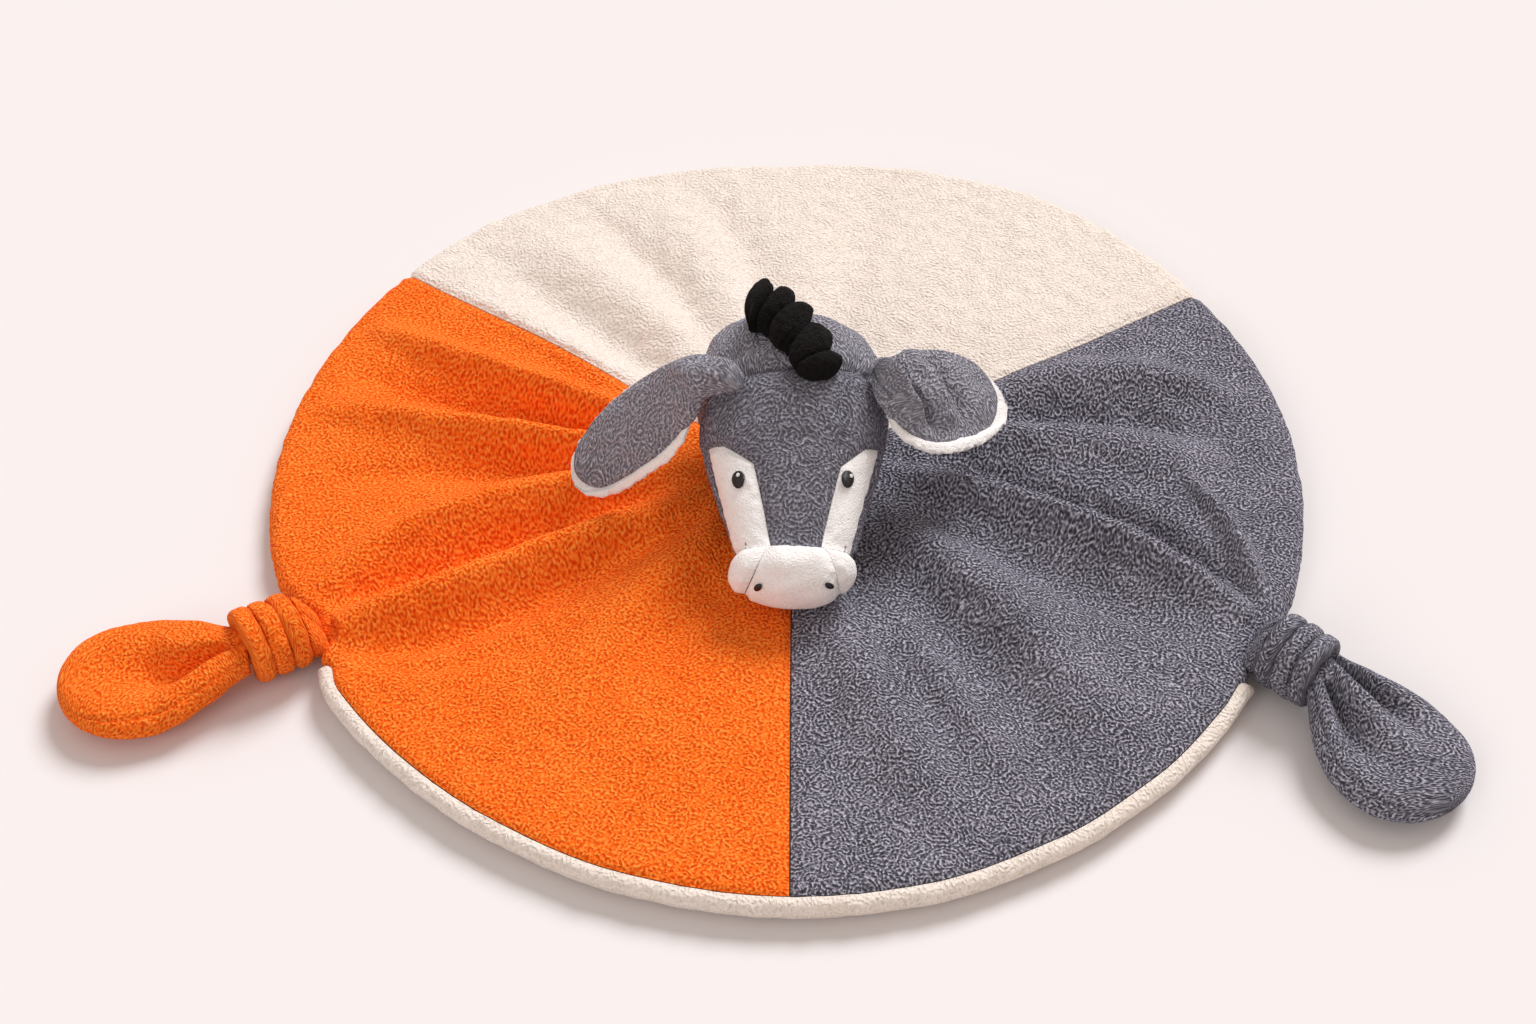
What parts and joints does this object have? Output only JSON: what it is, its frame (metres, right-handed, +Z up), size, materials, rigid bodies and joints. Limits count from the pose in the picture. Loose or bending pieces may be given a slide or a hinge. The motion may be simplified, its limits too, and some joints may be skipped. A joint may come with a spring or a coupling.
{
  "type": "comfort blanket lovey",
  "caption": "Round padded comfort blanket of coloured plush sectors, with a stuffed donkey head on a short neck, lined ears, a twisted tuft and knotted edge tails.",
  "frame": {"origin": "middle of the flat underside of the round blanket, on the surface it lies on", "axes": "+Z up out of the blanket, -Y towards the front, where the muzzle points, +X to the right seen from the front"},
  "size_m": [0.4617, 0.3615, 0.081],
  "materials": {
    "orange_plush": "short embossed plush, matt",
    "grey_plush": "short embossed plush, matt",
    "cream_plush": "short embossed plush, matt",
    "white_plush": "short soft plush, matt",
    "black_plush": "short plush, matt",
    "black_thread": "satin stitched thread",
    "white_thread": "satin stitched thread",
    "polyester_wadding": "loose white fibre filling"
  },
  "bodies": {
    "blanket": {"orange_panel": "orange_plush", "grey_panel": "grey_plush", "cream_panel": "cream_plush", "backing_panel": "cream_plush", "blanket_wadding": "polyester_wadding"},
    "neck": {"neck": "grey_plush"},
    "head": {"forehead_panel": "grey_plush", "left_crown_panel": "grey_plush", "right_crown_panel": "grey_plush", "left_cheek_panel": "white_plush", "right_cheek_panel": "white_plush", "left_jaw_panel": "grey_plush", "right_jaw_panel": "grey_plush", "left_muzzle_panel": "white_plush", "right_muzzle_panel": "white_plush", "muzzle_centre_panel": "white_plush", "head_stuffing": "polyester_wadding", "left_eye": "black_thread", "right_eye": "black_thread", "left_eye_glint": "white_thread", "right_eye_glint": "white_thread", "left_nostril": "black_thread", "right_nostril": "black_thread", "mane_tuft": "black_plush"},
    "left_ear": {"left_ear_outer": "grey_plush", "left_ear_lining": "white_plush"},
    "right_ear": {"right_ear_outer": "grey_plush", "right_ear_lining": "white_plush"},
    "orange_knot": {"orange_knot_core": "orange_plush", "orange_knot_wrap": "orange_plush"},
    "grey_knot": {"grey_knot_core": "grey_plush", "grey_knot_wrap": "grey_plush"},
    "orange_tail": {"orange_tail": "orange_plush"},
    "grey_tail": {"grey_tail": "grey_plush"}
  },
  "joints": [
    {"name": "head_turn", "type": "hinge", "parent": "blanket", "child": "neck", "pos_m": [0, 0, 0.0124], "axis": [0, 0, 1], "range_deg": [-25, 25]},
    {"name": "head_nod", "type": "hinge", "parent": "neck", "child": "head", "pos_m": [0, 0, 0.0124], "axis": [-1, 0, 0], "range_deg": [0, 20]},
    {"name": "left_ear_lift", "type": "hinge", "parent": "head", "child": "left_ear", "pos_m": [-0.01606, -0.01099, 0.06673], "axis": [0, 1, 0], "range_deg": [0, 60]},
    {"name": "right_ear_lift", "type": "hinge", "parent": "head", "child": "right_ear", "pos_m": [0.02659, -0.00196, 0.06134], "axis": [0, -1, 0], "range_deg": [0, 60]},
    {"name": "orange_knot_lift", "type": "hinge", "parent": "blanket", "child": "orange_knot", "pos_m": [-0.15251, -0.0679, 0.0055], "axis": [-0.4067, 0.9135, 0], "range_deg": [0, 45]},
    {"name": "grey_knot_lift", "type": "hinge", "parent": "blanket", "child": "grey_knot", "pos_m": [0.1473, -0.07505, 0.0055], "axis": [-0.454, -0.891, 0], "range_deg": [0, 45]},
    {"name": "orange_tail_lift", "type": "hinge", "parent": "orange_knot", "child": "orange_tail", "pos_m": [-0.18523, -0.08501, 0.0186], "axis": [-0.2079, 0.9781, 0], "range_deg": [0, 40]},
    {"name": "grey_tail_lift", "type": "hinge", "parent": "grey_knot", "child": "grey_tail", "pos_m": [0.17598, -0.09791, 0.0186], "axis": [-0.848, -0.5299, 0], "range_deg": [0, 40]}
  ]
}
